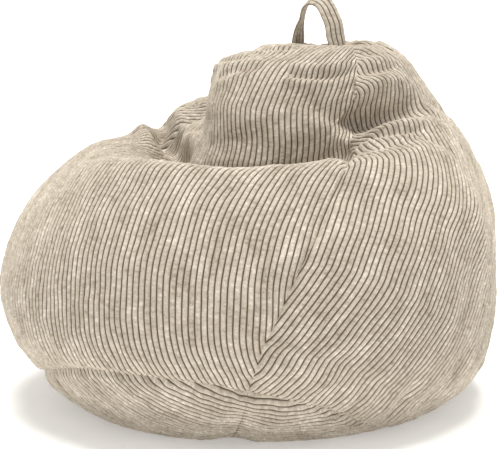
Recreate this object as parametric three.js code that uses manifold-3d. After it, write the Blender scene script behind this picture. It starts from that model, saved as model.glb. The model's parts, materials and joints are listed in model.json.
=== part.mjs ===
// Bean bag chair: a corduroy cover of four gores and a two-piece base, a carrying handle,
// a liner bag and the bead fill, with a zip in the base seam of the cover and of the liner.
// Millimetres, +Z up, front towards -Y. The origin is on the floor under the middle of the bag.
import * as THREE from 'three';
import { mergeVertices } from 'three/addons/utils/BufferGeometryUtils.js';
import Module from 'manifold-3d';

const wasm = await Module();
wasm.setup();

// ---- driving dimensions -------------------------------------------------------------------

// Each section is the outline of the stuffed bag in one direction from the middle, as pairs of
// [distance out, height], from the middle of the base, round the belly and over the rim, through
// the seat hollow, up the backrest to the top of the bag.
const SECTIONS = [
  // front
  [[0, 0], [225, 0], [310, 0], [402, 84], [450, 215], [425, 365], [345, 472], [260, 442],
    [212, 388], [190, 442], [178, 532], [118, 608], [0, 630]],
  // front right
  [[0, 0], [225, 0], [310, 0], [402, 84], [450, 215], [428, 366], [345, 472], [262, 456],
    [218, 422], [195, 460], [184, 542], [118, 618], [0, 630]],
  // right
  [[0, 0], [240, 0], [335, 0], [420, 76], [452, 215], [433, 372], [350, 484], [290, 508],
    [243, 520], [210, 550], [186, 596], [118, 636], [0, 630]],
  // rear right
  [[0, 0], [265, 0], [372, 0], [438, 70], [454, 215], [440, 345], [383, 450], [323, 512],
    [277, 549], [234, 587], [187, 620], [110, 644], [0, 630]],
  // back
  [[0, 0], [260, 0], [362, 0], [432, 70], [455, 215], [450, 340], [398, 448], [335, 512],
    [285, 550], [235, 580], [178, 606], [98, 626], [0, 630]],
  // rear left
  [[0, 0], [250, 0], [345, 0], [420, 70], [450, 215], [432, 335], [370, 448], [314, 524],
    [264, 548], [210, 560], [165, 586], [118, 610], [0, 630]],
  // left
  [[0, 0], [235, 0], [325, 0], [408, 76], [448, 215], [415, 350], [328, 442], [280, 466],
    [232, 468], [180, 498], [172, 562], [150, 600], [0, 630]],
  // front left
  [[0, 0], [225, 0], [310, 0], [398, 80], [446, 215], [405, 352], [322, 453], [258, 441],
    [210, 406], [170, 453], [173, 540], [150, 604], [0, 630]],
];
// How far the middle of each ring of the bag lies behind the middle of the base.
const LEAN = [0, 8, 12, 6, 0, 12, 50, 85, 112, 131, 148, 168, 185];
// How far it lies to the right.
const SWAY = [0, 0, 0, 0, 0, 0, 0, 0, 2, 6, 12, 20, 30];
const TOP_RING = LEAN.length - 1;

// Directions of the four gore seams at each ring, in degrees from the front towards +X.
const SEAMS = {
  frontRight: [35, 35, 34.5, 34.5, 40.6, 49.8, 60, 63, 65, 70.5, 67.5, 76, 100],
  rearRight: [112, 112, 112, 118, 132, 134, 136, 136, 136, 136, 136, 136, 136],
  rearLeft: [248, 248, 248, 240, 222, 216, 210, 208, 206, 206, 206, 206, 206],
  frontLeft: [326, 326, 326, 322, 312, 302, 288, 278, 276, 276, 276, 276, 276],
};
// Ring at which the base is sewn to the gores, in the eight directions of the sections.
const BASE_SEAM_RING = [3.42, 3.17, 1.8, 1.25, 0.9, 1.3, 2.1, 2.75];

const COVER_THICKNESS = 4;
const PATCH_OUTER = 4.3;
const PATCH_INNER = 4.9;
const LINER_OUTER = 5.3;
const LINER_INNER = 6.3;
const FILL_OUTER = 7.3;
const SEAM_GAP = 0.25;
// Share of its last row by which a gore stops short of the top of the bag.
const TIP_GAP = 0.08;

const GORE_COLUMNS = 8;
const GORE_ROWS = 22;
const BASE_ROWS = [0, 0.05, 0.14, 0.3, 0.55, 0.8, 1];
const PATCH_ROWS = 3;

// Height to which each layer is drawn up along the middle seam of the base, and how wide.
const PINCH_WIDTH = 30;
const COVER_PINCH = 8;
const LINER_PINCH = 11.4;
const FILL_PINCH = 17;
// Length over which the pinch dies away at the ends of the seam.
const PINCH_RUN_OUT = 60;
// Height over which the base turns from lying flat to leaning like the foot of the wall.
const RIM_LIFT = 60;

const CORD_COLOUR = 0xb9ae9e;
const LINING_COLOUR = 0xe4e0d8;
const TAPE_COLOUR = 0xb3a994;
const METAL_COLOUR = 0x9c9a94;
const BEAD_COLOUR = 0xf4f4f1;

// Zips: along the middle seam of the base, measured from its rear left end.
const ZIP_START = 95;
const COVER_ZIP = {
  name: 'cover_zip',
  length: 400,
  slot: 7,
  tape: { inner: 1.3, outer: 15, bottom: 12.3, top: 13.2 },
  coil: { inner: 1, outer: 3, bottom: 9.8, top: 12 },
  slider: { halfWidth: 5, halfLength: 8, bottom: 8, lower: 9.4, upper: 13.6, top: 14.7 },
};
const LINER_ZIP = {
  name: 'liner_zip',
  length: 360,
  slot: 6,
  tape: { inner: 1.2, outer: 13, bottom: 18.1, top: 18.8 },
  coil: { inner: 0.9, outer: 2.4, bottom: 16.3, top: 17.8 },
  slider: { halfWidth: 4.2, halfLength: 7, bottom: 15.2, lower: 15.9, upper: 19.2, top: 20 },
};
// Length past the end of a zip over which its slot closes.
const SLOT_TAPER = 12;
const STOP_LENGTH = 5;
const SLIDER_POST = 0.6;
// Play between a slider at rest and the stop behind it.
const SLIDER_PLAY = 2;
// Depth by which the pieces of a slider run into each other where they join.
const JOIN_DEPTH = 0.2;
// Bridge: how far it reaches each way, its height range, its bend, its wall and its width.
const BRIDGE = { reach: 3.2, bottom: 4.4, top: 8.2, bend: 1.6, wall: 1, width: 1.8 };
// Pull: the bar at its hinge end starts behind the axis, and the window lies just past the axis.
const PULL = {
  length: 26, width: 7, thick: 1.4, axisHeight: 6.8, heel: 0.7, heelHalf: 2.6, shoulder: 4.5,
  windowStart: 0.7, windowEnd: 5.2, windowHalf: 1.5,
};

// Handle: a flat strap loop standing across the top of the bag.
const HANDLE = {
  width: 42, thick: 7, legOut: 44, axisUp: 664, footHeight: 2.5, footGap: 0.6,
};
// Middle line of half the loop, as steps [inwards, up] from the hinge line of a leg.
const HANDLE_BEND = [[0, 0], [3, 16], [11, 33], [25, 45], [44, 48.5]];
// Steps of the strap along its loop, sides of the round end of a leg, and room searched round it.
const HANDLE_STEPS = 26;
const LEG_END_SIDES = 24;
const FOOT_MARGIN = 4;

// ---- form of the stuffed bag --------------------------------------------------------------

const radians = THREE.MathUtils.degToRad;

// Smooth curve through evenly spaced values, between b and c.
function spline(a, b, c, d, u) {
  return 0.5 * (2 * b + (c - a) * u + (2 * a - 5 * b + 4 * c - d) * u * u
    + (3 * b - a - 3 * c + d) * u * u * u);
}

// Value at a direction, from one value for each of the eight sections.
function around(degrees, valueAt) {
  const turn = (((degrees % 360) + 360) % 360) / 45;
  const i = Math.floor(turn) % 8;
  const v = [-1, 0, 1, 2].map((k) => valueAt((i + k + 8) % 8));
  return spline(v[0], v[1], v[2], v[3], turn - Math.floor(turn));
}

// Value at a ring, from one value for each ring; odd values change sign through the ends.
function along(ring, values, sign) {
  const j = Math.min(Math.floor(ring), TOP_RING - 1);
  const pick = (k) => {
    if (k < 0) return sign < 0 ? -values(-k) : values(-k);
    if (k > TOP_RING) return sign < 0 ? -values(2 * TOP_RING - k) : values(2 * TOP_RING - k);
    return values(k);
  };
  return spline(pick(j - 1), pick(j), pick(j + 1), pick(j + 2), ring - j);
}

// Point on the outside of the stuffed bag.
function skin(degrees, ring) {
  const out = along(ring, (k) => around(degrees, (s) => SECTIONS[s][k][0]), -1);
  const up = along(ring, (k) => around(degrees, (s) => SECTIONS[s][k][1]), 1);
  const back = along(ring, (k) => LEAN[k], 1);
  const right = along(ring, (k) => SWAY[k], 1);
  const a = radians(degrees);
  return new THREE.Vector3(right + out * Math.sin(a), back - out * Math.cos(a), Math.max(up, 0));
}

function seamAt(name, ring) {
  const list = SEAMS[name];
  const j = Math.min(Math.floor(ring), TOP_RING - 1);
  return list[j] + (list[j + 1] - list[j]) * (ring - j);
}

const baseSeamRing = (degrees) => around(degrees, (s) => BASE_SEAM_RING[s]);

// Height of the underside of the bag above the floor at a place in plan.
function undersideAt(x, y) {
  let low = 0;
  let high = 4;
  let point = new THREE.Vector3();
  for (let i = 0; i < 28; i += 1) {
    const ring = (low + high) / 2;
    const back = along(ring, (k) => LEAN[k], 1);
    const degrees = THREE.MathUtils.radToDeg(Math.atan2(x, back - y));
    point = skin(degrees, ring);
    if (Math.hypot(point.x, point.y - back) < Math.hypot(x, y - back)) low = ring;
    else high = ring;
  }
  return point.z;
}

// ---- lattice that every layer shares --------------------------------------------------------

const GORES = [
  { name: 'right_panel', from: 'frontRight', to: 'rearRight', turn: 0 },
  { name: 'back_panel', from: 'rearRight', to: 'rearLeft', turn: 0 },
  { name: 'left_panel', from: 'rearLeft', to: 'frontLeft', turn: 0 },
  { name: 'front_panel', from: 'frontLeft', to: 'frontRight', turn: 360 },
];

// Direction of a column of a gore at a ring; share runs from 0 to 1 across the gore.
function columnAt(gore, share, ring) {
  const a = seamAt(gore.from, ring);
  const b = seamAt(gore.to, ring) + gore.turn;
  return a + (b - a) * share;
}

// Ring where a column meets the base seam.
function columnStart(gore, share) {
  let ring = 2;
  for (let i = 0; i < 20; i += 1) ring = baseSeamRing(columnAt(gore, share, ring));
  return ring;
}

function gorePoint(gore, share, rise) {
  const start = columnStart(gore, share);
  const ring = start + (TOP_RING - start) * rise;
  return skin(columnAt(gore, share, ring), ring);
}

// Points of all the gores: columns in order round the bag, rows from the base seam to the top.
const columnShares = [];
GORES.forEach((gore) => {
  for (let i = 0; i < GORE_COLUMNS; i += 1) columnShares.push([gore, i / GORE_COLUMNS]);
});
const COLUMNS = columnShares.length;
const wall = columnShares.map(([gore, share]) => {
  const column = [];
  for (let j = 0; j <= GORE_ROWS; j += 1) column.push(gorePoint(gore, share, j / GORE_ROWS));
  return column;
});

// The middle seam of the base runs from the front right gore seam to the rear left one.
const FRONT_END = 0;
const REAR_END = 2 * GORE_COLUMNS;
const frontEnd = wall[FRONT_END][0].clone().setZ(0);
const rearEnd = wall[REAR_END][0].clone().setZ(0);
const seamLength = frontEnd.distanceTo(rearEnd);
const alongSeam = frontEnd.clone().sub(rearEnd).normalize();
const acrossSeam = new THREE.Vector3(-alongSeam.y, alongSeam.x, 0);

// Distance along the middle seam at which a column of the base starts.
function seamStation(step) {
  return (seamLength / 2) * (1 + Math.cos((Math.PI * step) / REAR_END));
}

// A place in plan from its distance along and across the middle seam.
const seamPlace = (s, q) => rearEnd.clone().addScaledVector(alongSeam, s).addScaledVector(acrossSeam, q);

// Half width of a slot that closes smoothly just past the ends of a zip.
function slotHalfWidth(zip, s) {
  const past = Math.max(ZIP_START - s, s - ZIP_START - zip.length);
  return past < 0 ? zip.slot : Math.max(SEAM_GAP, zip.slot * (1 - past / SLOT_TAPER));
}

// Points of one half of the base: columns follow the rim, rows run out from the middle seam.
function baseHalf(side, slotAt) {
  const columns = [];
  for (let step = 0; step <= REAR_END; step += 1) {
    const index = side > 0 ? step : (COLUMNS - step) % COLUMNS;
    const rim = wall[index][0];
    const s = seamStation(step);
    const start = seamPlace(s, side * slotAt(s));
    columns.push(BASE_ROWS.map((share) => {
      if (share === 1) return rim.clone();
      const p = start.clone().lerp(rim.clone().setZ(0), share);
      return p.setZ(undersideAt(p.x, p.y));
    }));
  }
  return columns;
}

// Height added to a layer by the pinch along the middle seam of the base.
function pinch(point, height) {
  const q = point.clone().sub(rearEnd).dot(acrossSeam);
  const s = point.clone().sub(rearEnd).dot(alongSeam);
  const end = THREE.MathUtils.smoothstep(Math.min(s, seamLength - s), 0, PINCH_RUN_OUT);
  return height * end * Math.exp(-((q / PINCH_WIDTH) ** 2));
}

// ---- offsets --------------------------------------------------------------------------------

// Outward normal at each point of a grid of columns, from its neighbours.
function gridNormals(columns, wraps, side) {
  const n = columns.length;
  const m = columns[0].length;
  return columns.map((column, i) => column.map((p, j) => {
    const before = wraps ? (i + n - 1) % n : Math.max(i - 1, 0);
    const after = wraps ? (i + 1) % n : Math.min(i + 1, n - 1);
    const round = columns[after][j].clone().sub(columns[before][j]);
    const rise = column[Math.min(j + 1, m - 1)].clone().sub(column[Math.max(j - 1, 0)]);
    return round.cross(rise).multiplyScalar(side).normalize();
  }));
}

const wallNormals = gridNormals(wall, true, 1);
wallNormals.forEach((column) => column[GORE_ROWS].set(0, 0, 1));

// Offset of a point of the base: straight up where it lies flat, and leaning like the foot of
// the wall where it curves up towards the rim.
function baseOffset(point, row, rimNormal, depth) {
  const flat = new THREE.Vector3(0, 0, -1);
  const lift = THREE.MathUtils.smoothstep(point.z, 0, RIM_LIFT);
  const lean = wallNormals[FRONT_END][0].clone().lerp(rimNormal, BASE_ROWS[row]);
  return point.clone().addScaledVector(flat.lerp(lean, lift).normalize(), -depth);
}

// One layer of the whole bag at a depth inside the skin.
function layer(depth, pinchHeight, slotAt) {
  const offsetWall = wall.map((column, i) => column.map(
    (p, j) => p.clone().addScaledVector(wallNormals[i][j], -depth),
  ));
  const halves = [1, -1].map((side) => baseHalf(side, slotAt).map((column, step) => {
    const index = side > 0 ? step : (COLUMNS - step) % COLUMNS;
    return column.map((p, row) => {
      if (row === BASE_ROWS.length - 1) return offsetWall[index][0].clone();
      const q = baseOffset(p, row, wallNormals[index][0], depth);
      return q.setZ(q.z + pinch(p, pinchHeight));
    });
  }));
  return { wall: offsetWall, halves };
}

// ---- solids -----------------------------------------------------------------------------------

function solidFromTriangles(triangles) {
  const positions = [];
  triangles.forEach((t) => t.forEach((p) => positions.push(p.x, p.y, p.z)));
  const raw = new THREE.BufferGeometry();
  raw.setAttribute('position', new THREE.Float32BufferAttribute(positions, 3));
  const merged = mergeVertices(raw, 1e-3);
  const index = merged.getIndex().array;
  const kept = [];
  for (let i = 0; i < index.length; i += 3) {
    const [a, b, c] = [index[i], index[i + 1], index[i + 2]];
    if (a !== b && b !== c && c !== a) kept.push(a, b, c);
  }
  merged.setIndex(kept);
  return turnedOutwards(merged);
}

// Turns the faces round if the solid is inside out.
function turnedOutwards(geometry) {
  const p = geometry.getAttribute('position');
  const index = geometry.getIndex().array;
  const a = new THREE.Vector3();
  const b = new THREE.Vector3();
  const c = new THREE.Vector3();
  let volume = 0;
  for (let i = 0; i < index.length; i += 3) {
    a.fromBufferAttribute(p, index[i]);
    b.fromBufferAttribute(p, index[i + 1]);
    c.fromBufferAttribute(p, index[i + 2]);
    volume += a.dot(b.cross(c));
  }
  if (volume < 0) {
    for (let i = 0; i < index.length; i += 3) [index[i], index[i + 1]] = [index[i + 1], index[i]];
  }
  geometry.computeVertexNormals();
  return geometry;
}

function quad(list, a, b, c, d) {
  list.push([a, b, c], [a, c, d]);
}

// Triangles of a grid of columns; reversed turns them over.
function gridTriangles(list, columns, reversed, wraps) {
  const last = wraps ? columns.length : columns.length - 1;
  for (let i = 0; i < last; i += 1) {
    const left = columns[i];
    const right = columns[(i + 1) % columns.length];
    for (let j = 0; j + 1 < left.length; j += 1) {
      if (reversed) quad(list, left[j], left[j + 1], right[j + 1], right[j]);
      else quad(list, left[j], right[j], right[j + 1], left[j + 1]);
    }
  }
}

// Closed sheet between an outer and an inner grid of the same size.
function sheetSolid(outer, inner) {
  const list = [];
  const n = outer.length - 1;
  const m = outer[0].length - 1;
  gridTriangles(list, outer, false, false);
  gridTriangles(list, inner, true, false);
  for (let j = 0; j < m; j += 1) {
    quad(list, outer[0][j], outer[0][j + 1], inner[0][j + 1], inner[0][j]);
    quad(list, outer[n][j], inner[n][j], inner[n][j + 1], outer[n][j + 1]);
  }
  for (let i = 0; i < n; i += 1) {
    quad(list, outer[i][0], inner[i][0], inner[i + 1][0], outer[i + 1][0]);
    quad(list, outer[i][m], outer[i + 1][m], inner[i + 1][m], inner[i][m]);
  }
  return solidFromTriangles(list);
}

// ---- cover ------------------------------------------------------------------------------------

// Moves the edges of a gore in from its seams by the seam gap.
function trimmed(columns) {
  const result = columns.map((column) => column.map((p) => p.clone()));
  const n = columns.length - 1;
  const draw = (p, towards, gap) => {
    const step = towards.clone().sub(p);
    const length = step.length();
    if (length > gap) p.addScaledVector(step, gap / length);
  };
  for (let j = 0; j < result[0].length; j += 1) {
    draw(result[0][j], columns[1][j], SEAM_GAP);
    draw(result[n][j], columns[n - 1][j], SEAM_GAP);
  }
  result.forEach((column) => draw(column[0], column[1].clone(), 2 * SEAM_GAP));
  return result;
}

function goreGrid(layerWall, k) {
  const columns = [];
  for (let i = 0; i <= GORE_COLUMNS; i += 1) {
    const column = layerWall[(k * GORE_COLUMNS + i) % COLUMNS].map((p) => p.clone());
    column[GORE_ROWS].lerp(column[GORE_ROWS - 1], TIP_GAP);
    columns.push(column);
  }
  return trimmed(columns);
}

const slotFor = (zip) => (s) => slotHalfWidth(zip, s);
const closed = () => 0;

const coverOuter = layer(0, COVER_PINCH, slotFor(COVER_ZIP));
const coverInner = layer(COVER_THICKNESS, COVER_PINCH, slotFor(COVER_ZIP));

function goreSolid(k) {
  return sheetSolid(goreGrid(coverOuter.wall, k), goreGrid(coverInner.wall, k));
}

// Moves the rim of a base half in from the base seam, and its two tips in along the middle seam.
function rimDrawnIn(columns) {
  const rim = BASE_ROWS.length - 1;
  return columns.map((column, step) => {
    if (step === 0 || step === REAR_END) {
      const inwards = columns[step === 0 ? 1 : step - 1][0].clone().sub(column[0]).normalize();
      return column.map((p) => p.clone().addScaledVector(inwards, 4 * SEAM_GAP));
    }
    const draw = column[rim - 1].clone().sub(column[rim]).setLength(2 * SEAM_GAP);
    return column.map((p, row) => (row === rim ? p.clone().add(draw) : p));
  });
}

function baseSolid(side) {
  const pick = side > 0 ? 0 : 1;
  return sheetSolid(rimDrawnIn(coverOuter.halves[pick]), rimDrawnIn(coverInner.halves[pick]));
}

// Reinforcing patch sewn inside the top of the cover, under the handle.
function patchSolid() {
  const first = GORE_ROWS - PATCH_ROWS;
  const rows = (depth) => layer(depth, 0, closed).wall.map((column) => column.slice(first));
  const outer = rows(PATCH_OUTER);
  const inner = rows(PATCH_INNER);
  const list = [];
  gridTriangles(list, outer, false, true);
  gridTriangles(list, inner, true, true);
  for (let i = 0; i < COLUMNS; i += 1) {
    const k = (i + 1) % COLUMNS;
    quad(list, outer[i][0], inner[i][0], inner[k][0], outer[k][0]);
  }
  return solidFromTriangles(list);
}

// ---- liner and fill -----------------------------------------------------------------------------

// Triangles of a whole bag surface: the wall, and the two halves of the base.
function bagTriangles(list, bag, reversed) {
  gridTriangles(list, bag.wall, reversed, true);
  gridTriangles(list, bag.halves[0], reversed, false);
  gridTriangles(list, bag.halves[1], !reversed, false);
}

function fillSolid() {
  const list = [];
  bagTriangles(list, layer(FILL_OUTER, FILL_PINCH, closed), false);
  return solidFromTriangles(list);
}

// The liner is open along its zip, where its two faces join.
function linerSolid() {
  const slot = (s) => {
    const half = slotHalfWidth(LINER_ZIP, s);
    return half > SEAM_GAP ? half : 0;
  };
  const outer = layer(LINER_OUTER, LINER_PINCH, slot);
  const inner = layer(LINER_INNER, LINER_PINCH, slot);
  const list = [];
  bagTriangles(list, outer, false);
  bagTriangles(list, inner, true);
  [0, 1].forEach((half) => {
    for (let i = 0; i < REAR_END; i += 1) {
      const [a, b] = [outer.halves[half][i][0], outer.halves[half][i + 1][0]];
      const [c, d] = [inner.halves[half][i + 1][0], inner.halves[half][i][0]];
      const open = slot(seamStation(i)) > 0 || slot(seamStation(i + 1)) > 0;
      if (open && half === 0) quad(list, a, d, c, b);
      if (open && half === 1) quad(list, a, b, c, d);
    }
  });
  return solidFromTriangles(list);
}

// ---- zips ---------------------------------------------------------------------------------------

// A box given by its ranges along the seam, across it and up.
function seamBox(s0, s1, q0, q1, z0, z1) {
  const box = new THREE.BoxGeometry(s1 - s0, q1 - q0, z1 - z0);
  box.translate((s0 + s1) / 2, (q0 + q1) / 2, (z0 + z1) / 2);
  return box;
}

// Turns a piece made along +X into place on the middle seam of the base.
function placeOnSeam(geometry) {
  const turn = new THREE.Matrix4().makeBasis(alongSeam, acrossSeam, new THREE.Vector3(0, 0, 1));
  turn.setPosition(rearEnd);
  geometry.applyMatrix4(turn);
  return geometry;
}

function toManifold(geometry) {
  const bare = geometry.clone();
  bare.deleteAttribute('normal');
  bare.deleteAttribute('uv');
  const merged = mergeVertices(bare, 1e-4);
  return new wasm.Manifold(new wasm.Mesh({
    numProp: 3,
    vertProperties: new Float32Array(merged.getAttribute('position').array),
    triVerts: new Uint32Array(merged.getIndex().array),
  }));
}

function fromManifold(solid) {
  const mesh = solid.getMesh();
  const geometry = new THREE.BufferGeometry();
  geometry.setAttribute('position', new THREE.BufferAttribute(mesh.vertProperties, 3));
  geometry.setIndex(new THREE.BufferAttribute(mesh.triVerts, 1));
  geometry.computeVertexNormals();
  return geometry;
}

function joined(geometries) {
  return fromManifold(geometries.map(toManifold).reduce((a, b) => a.add(b)));
}

const sliderCentre = (zip) => ZIP_START + STOP_LENGTH + SLIDER_PLAY + zip.slider.halfLength;

// Slider: an outer and an inner plate on a thin post between the two rows of coil.
function sliderPieces(zip) {
  const { halfWidth, halfLength, bottom, lower, upper, top } = zip.slider;
  const c = sliderCentre(zip);
  const post = [c - halfLength / 2, c + halfLength / 2, -SLIDER_POST, SLIDER_POST];
  return [
    seamBox(c - halfLength, c + halfLength, -halfWidth, halfWidth, bottom, lower),
    seamBox(c - halfLength, c + halfLength, -halfWidth, halfWidth, upper, top),
    seamBox(...post, lower - JOIN_DEPTH, upper + JOIN_DEPTH),
  ];
}

// Arched bridge under the cover's slider, which holds the pull.
function bridgePiece(c) {
  const { reach, bottom, top, bend, wall, width } = BRIDGE;
  const outline = new THREE.Shape();
  outline.moveTo(-reach, top);
  outline.lineTo(-reach, bottom + bend);
  outline.quadraticCurveTo(-reach, bottom, -reach + bend, bottom);
  outline.lineTo(reach - bend, bottom);
  outline.quadraticCurveTo(reach, bottom, reach, bottom + bend);
  outline.lineTo(reach, top);
  outline.lineTo(reach - wall, top);
  outline.lineTo(reach - wall, bottom + wall);
  outline.lineTo(-reach + wall, bottom + wall);
  outline.lineTo(-reach + wall, top);
  outline.closePath();
  const arch = new THREE.ExtrudeGeometry(outline, { depth: width, bevelEnabled: false, curveSegments: 3 });
  arch.rotateX(Math.PI / 2);
  arch.translate(c, width / 2, 0);
  return arch;
}

// Pull: a flat tab with a window, whose end bar turns inside the bridge.
function pullPiece(c) {
  const { length, width, thick, axisHeight, heel, heelHalf, shoulder } = PULL;
  const { windowStart, windowEnd, windowHalf } = PULL;
  const half = width / 2;
  const outline = new THREE.Shape();
  outline.moveTo(-heel, -heelHalf);
  outline.lineTo(shoulder, -half);
  outline.lineTo(length - half, -half);
  outline.absarc(length - half, 0, half, -Math.PI / 2, Math.PI / 2, false);
  outline.lineTo(shoulder, half);
  outline.lineTo(-heel, heelHalf);
  outline.closePath();
  const window = new THREE.Path();
  window.moveTo(windowStart, -windowHalf);
  window.lineTo(windowEnd, -windowHalf);
  window.lineTo(windowEnd, windowHalf);
  window.lineTo(windowStart, windowHalf);
  window.closePath();
  outline.holes.push(window);
  const tab = new THREE.ExtrudeGeometry(outline, { depth: thick, bevelEnabled: false, curveSegments: 6 });
  tab.translate(c, 0, axisHeight - thick / 2);
  return tab;
}

// ---- handle -------------------------------------------------------------------------------------

const handleBack = LEAN[TOP_RING];
const handleSide = SWAY[TOP_RING];

// Middle line of the loop above its hinge line.
function handleCurve() {
  const { legOut, axisUp } = HANDLE;
  const left = HANDLE_BEND.map(([inwards, up]) => [inwards - legOut, axisUp + up]);
  const right = left.slice(0, -1).reverse().map(([x, z]) => [-x, z]);
  const points = [...left, ...right].map(([x, z]) => new THREE.Vector3(handleSide + x, handleBack, z));
  return new THREE.CatmullRomCurve3(points, false, 'centripetal');
}

// The round foot of a leg, centred on the hinge line so that it turns clear of the sewn end.
function legEnd(x) {
  const disc = new THREE.CylinderGeometry(HANDLE.width / 2, HANDLE.width / 2, HANDLE.thick, LEG_END_SIDES);
  disc.rotateZ(Math.PI / 2);
  disc.translate(handleSide + x, handleBack, HANDLE.axisUp);
  return disc;
}

function handleLoop() {
  const { width, thick, legOut } = HANDLE;
  const section = new THREE.Shape();
  section.moveTo(-width / 2, -thick / 2);
  section.lineTo(width / 2, -thick / 2);
  section.lineTo(width / 2, thick / 2);
  section.lineTo(-width / 2, thick / 2);
  section.closePath();
  const strap = new THREE.ExtrudeGeometry(section, { steps: HANDLE_STEPS, extrudePath: handleCurve() });
  return joined([strap, legEnd(-legOut), legEnd(legOut)]);
}

// Highest point of the top of the bag under one end of the strap.
function crownUnder(side) {
  const { width, thick, legOut } = HANDLE;
  let highest = 0;
  for (let ring = TOP_RING - 1.2; ring < TOP_RING; ring += 0.05) {
    for (let degrees = 0; degrees < 360; degrees += 5) {
      const p = skin(degrees, ring);
      const acrossLeg = Math.abs(p.x - handleSide - side * legOut);
      const alongLeg = Math.abs(p.y - handleBack);
      if (acrossLeg < thick && alongLeg < width / 2 + FOOT_MARGIN) highest = Math.max(highest, p.z);
    }
  }
  return highest;
}

function handleFoot(side) {
  const { width, thick, legOut, footHeight, footGap } = HANDLE;
  const foot = new THREE.BoxGeometry(thick, width, footHeight);
  foot.translate(handleSide + side * legOut, handleBack, crownUnder(side) + footGap + footHeight / 2);
  return foot;
}

// ---- assembly -----------------------------------------------------------------------------------

const group = new THREE.Group();

function addPiece(name, geometry, colour, roughness, metalness = 0) {
  const material = new THREE.MeshStandardMaterial({ color: colour, roughness, metalness });
  const mesh = new THREE.Mesh(geometry, material);
  mesh.name = name;
  group.add(mesh);
}

function addZip(zip) {
  const end = ZIP_START + zip.length;
  [['left', 1], ['right', -1]].forEach(([hand, side]) => {
    const strip = ({ inner, outer, bottom, top }, trim) => {
      const [q0, q1] = side > 0 ? [inner, outer] : [-outer, -inner];
      return placeOnSeam(seamBox(ZIP_START + trim, end - trim, q0, q1, bottom, top));
    };
    addPiece(`${zip.name}_tape_${hand}`, strip(zip.tape, 0), TAPE_COLOUR, 0.85);
    addPiece(`${zip.name}_coil_${hand}`, strip(zip.coil, STOP_LENGTH + 0.5), METAL_COLOUR, 0.5);
  });
  const { outer, bottom, top } = zip.coil;
  const stop = (s) => placeOnSeam(seamBox(s, s + STOP_LENGTH, -outer, outer, bottom, top));
  addPiece(`${zip.name}_top_stop`, stop(ZIP_START), METAL_COLOUR, 0.35, 1);
  addPiece(`${zip.name}_bottom_stop`, stop(end - STOP_LENGTH), METAL_COLOUR, 0.35, 1);
}

GORES.forEach((gore, k) => addPiece(gore.name, goreSolid(k), CORD_COLOUR, 0.95));
addPiece('base_half_right', baseSolid(1), CORD_COLOUR, 0.95);
addPiece('base_half_left', baseSolid(-1), CORD_COLOUR, 0.95);
addPiece('handle_patch', patchSolid(), LINING_COLOUR, 0.9);
addPiece('handle_loop', handleLoop(), CORD_COLOUR, 0.95);
addPiece('handle_foot_left', handleFoot(-1), CORD_COLOUR, 0.95);
addPiece('handle_foot_right', handleFoot(1), CORD_COLOUR, 0.95);
addPiece('liner_bag', linerSolid(), LINING_COLOUR, 0.8);
addPiece('bead_fill', fillSolid(), BEAD_COLOUR, 0.7);

addZip(COVER_ZIP);
addZip(LINER_ZIP);
const coverSlider = [...sliderPieces(COVER_ZIP), bridgePiece(sliderCentre(COVER_ZIP))];
addPiece('cover_zip_slider', placeOnSeam(joined(coverSlider)), METAL_COLOUR, 0.35, 1);
addPiece('cover_zip_pull', placeOnSeam(pullPiece(sliderCentre(COVER_ZIP))), METAL_COLOUR, 0.35, 1);
addPiece('liner_zip_slider', placeOnSeam(joined(sliderPieces(LINER_ZIP))), METAL_COLOUR, 0.35, 1);

export default group;
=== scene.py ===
"""Bean bag chair in jumbo corduroy: a cover of four gores and a two-piece base, a carrying handle,
the liner and its beads, and the zips of both bags. Metres, +Z up, front towards -Y."""

import json
import logging
import math
from dataclasses import dataclass, field
from enum import Enum
from typing import Iterable, Sequence

import bmesh
import bpy
import numpy as np
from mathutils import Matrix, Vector

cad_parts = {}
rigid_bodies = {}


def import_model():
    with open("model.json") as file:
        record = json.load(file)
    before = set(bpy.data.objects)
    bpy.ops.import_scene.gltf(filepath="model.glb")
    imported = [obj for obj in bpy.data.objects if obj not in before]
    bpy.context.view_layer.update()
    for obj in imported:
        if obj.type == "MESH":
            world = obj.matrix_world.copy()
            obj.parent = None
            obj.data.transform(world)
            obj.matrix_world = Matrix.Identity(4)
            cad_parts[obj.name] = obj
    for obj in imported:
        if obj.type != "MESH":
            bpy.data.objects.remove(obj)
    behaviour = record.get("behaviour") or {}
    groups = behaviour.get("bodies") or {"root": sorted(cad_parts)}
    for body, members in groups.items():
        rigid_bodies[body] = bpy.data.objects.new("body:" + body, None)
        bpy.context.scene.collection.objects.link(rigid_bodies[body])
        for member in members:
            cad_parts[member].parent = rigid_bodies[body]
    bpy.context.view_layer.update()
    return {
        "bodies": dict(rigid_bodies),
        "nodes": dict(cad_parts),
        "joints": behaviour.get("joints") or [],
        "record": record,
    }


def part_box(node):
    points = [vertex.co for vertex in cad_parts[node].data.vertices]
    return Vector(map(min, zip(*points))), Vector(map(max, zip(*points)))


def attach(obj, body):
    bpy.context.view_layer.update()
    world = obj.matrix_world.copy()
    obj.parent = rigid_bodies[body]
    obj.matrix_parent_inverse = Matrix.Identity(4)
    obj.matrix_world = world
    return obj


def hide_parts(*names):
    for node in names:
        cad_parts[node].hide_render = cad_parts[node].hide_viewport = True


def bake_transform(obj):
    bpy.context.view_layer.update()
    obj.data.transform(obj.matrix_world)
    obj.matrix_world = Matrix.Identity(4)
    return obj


LOG = logging.getLogger("bean_bag")
MM = 0.001
DOWN = np.array([0.0, 0.0, -1.0])


class Body(Enum):
    """The moving bodies of the model."""

    BAG = "bag"
    HANDLE = "handle"


class Slot(Enum):
    """The material slots of the record."""

    CORDUROY = "corduroy"
    LINING = "lining"
    BEADS = "beads"


# ---- form of the stuffed bag -----------------------------------------------------------------

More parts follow.
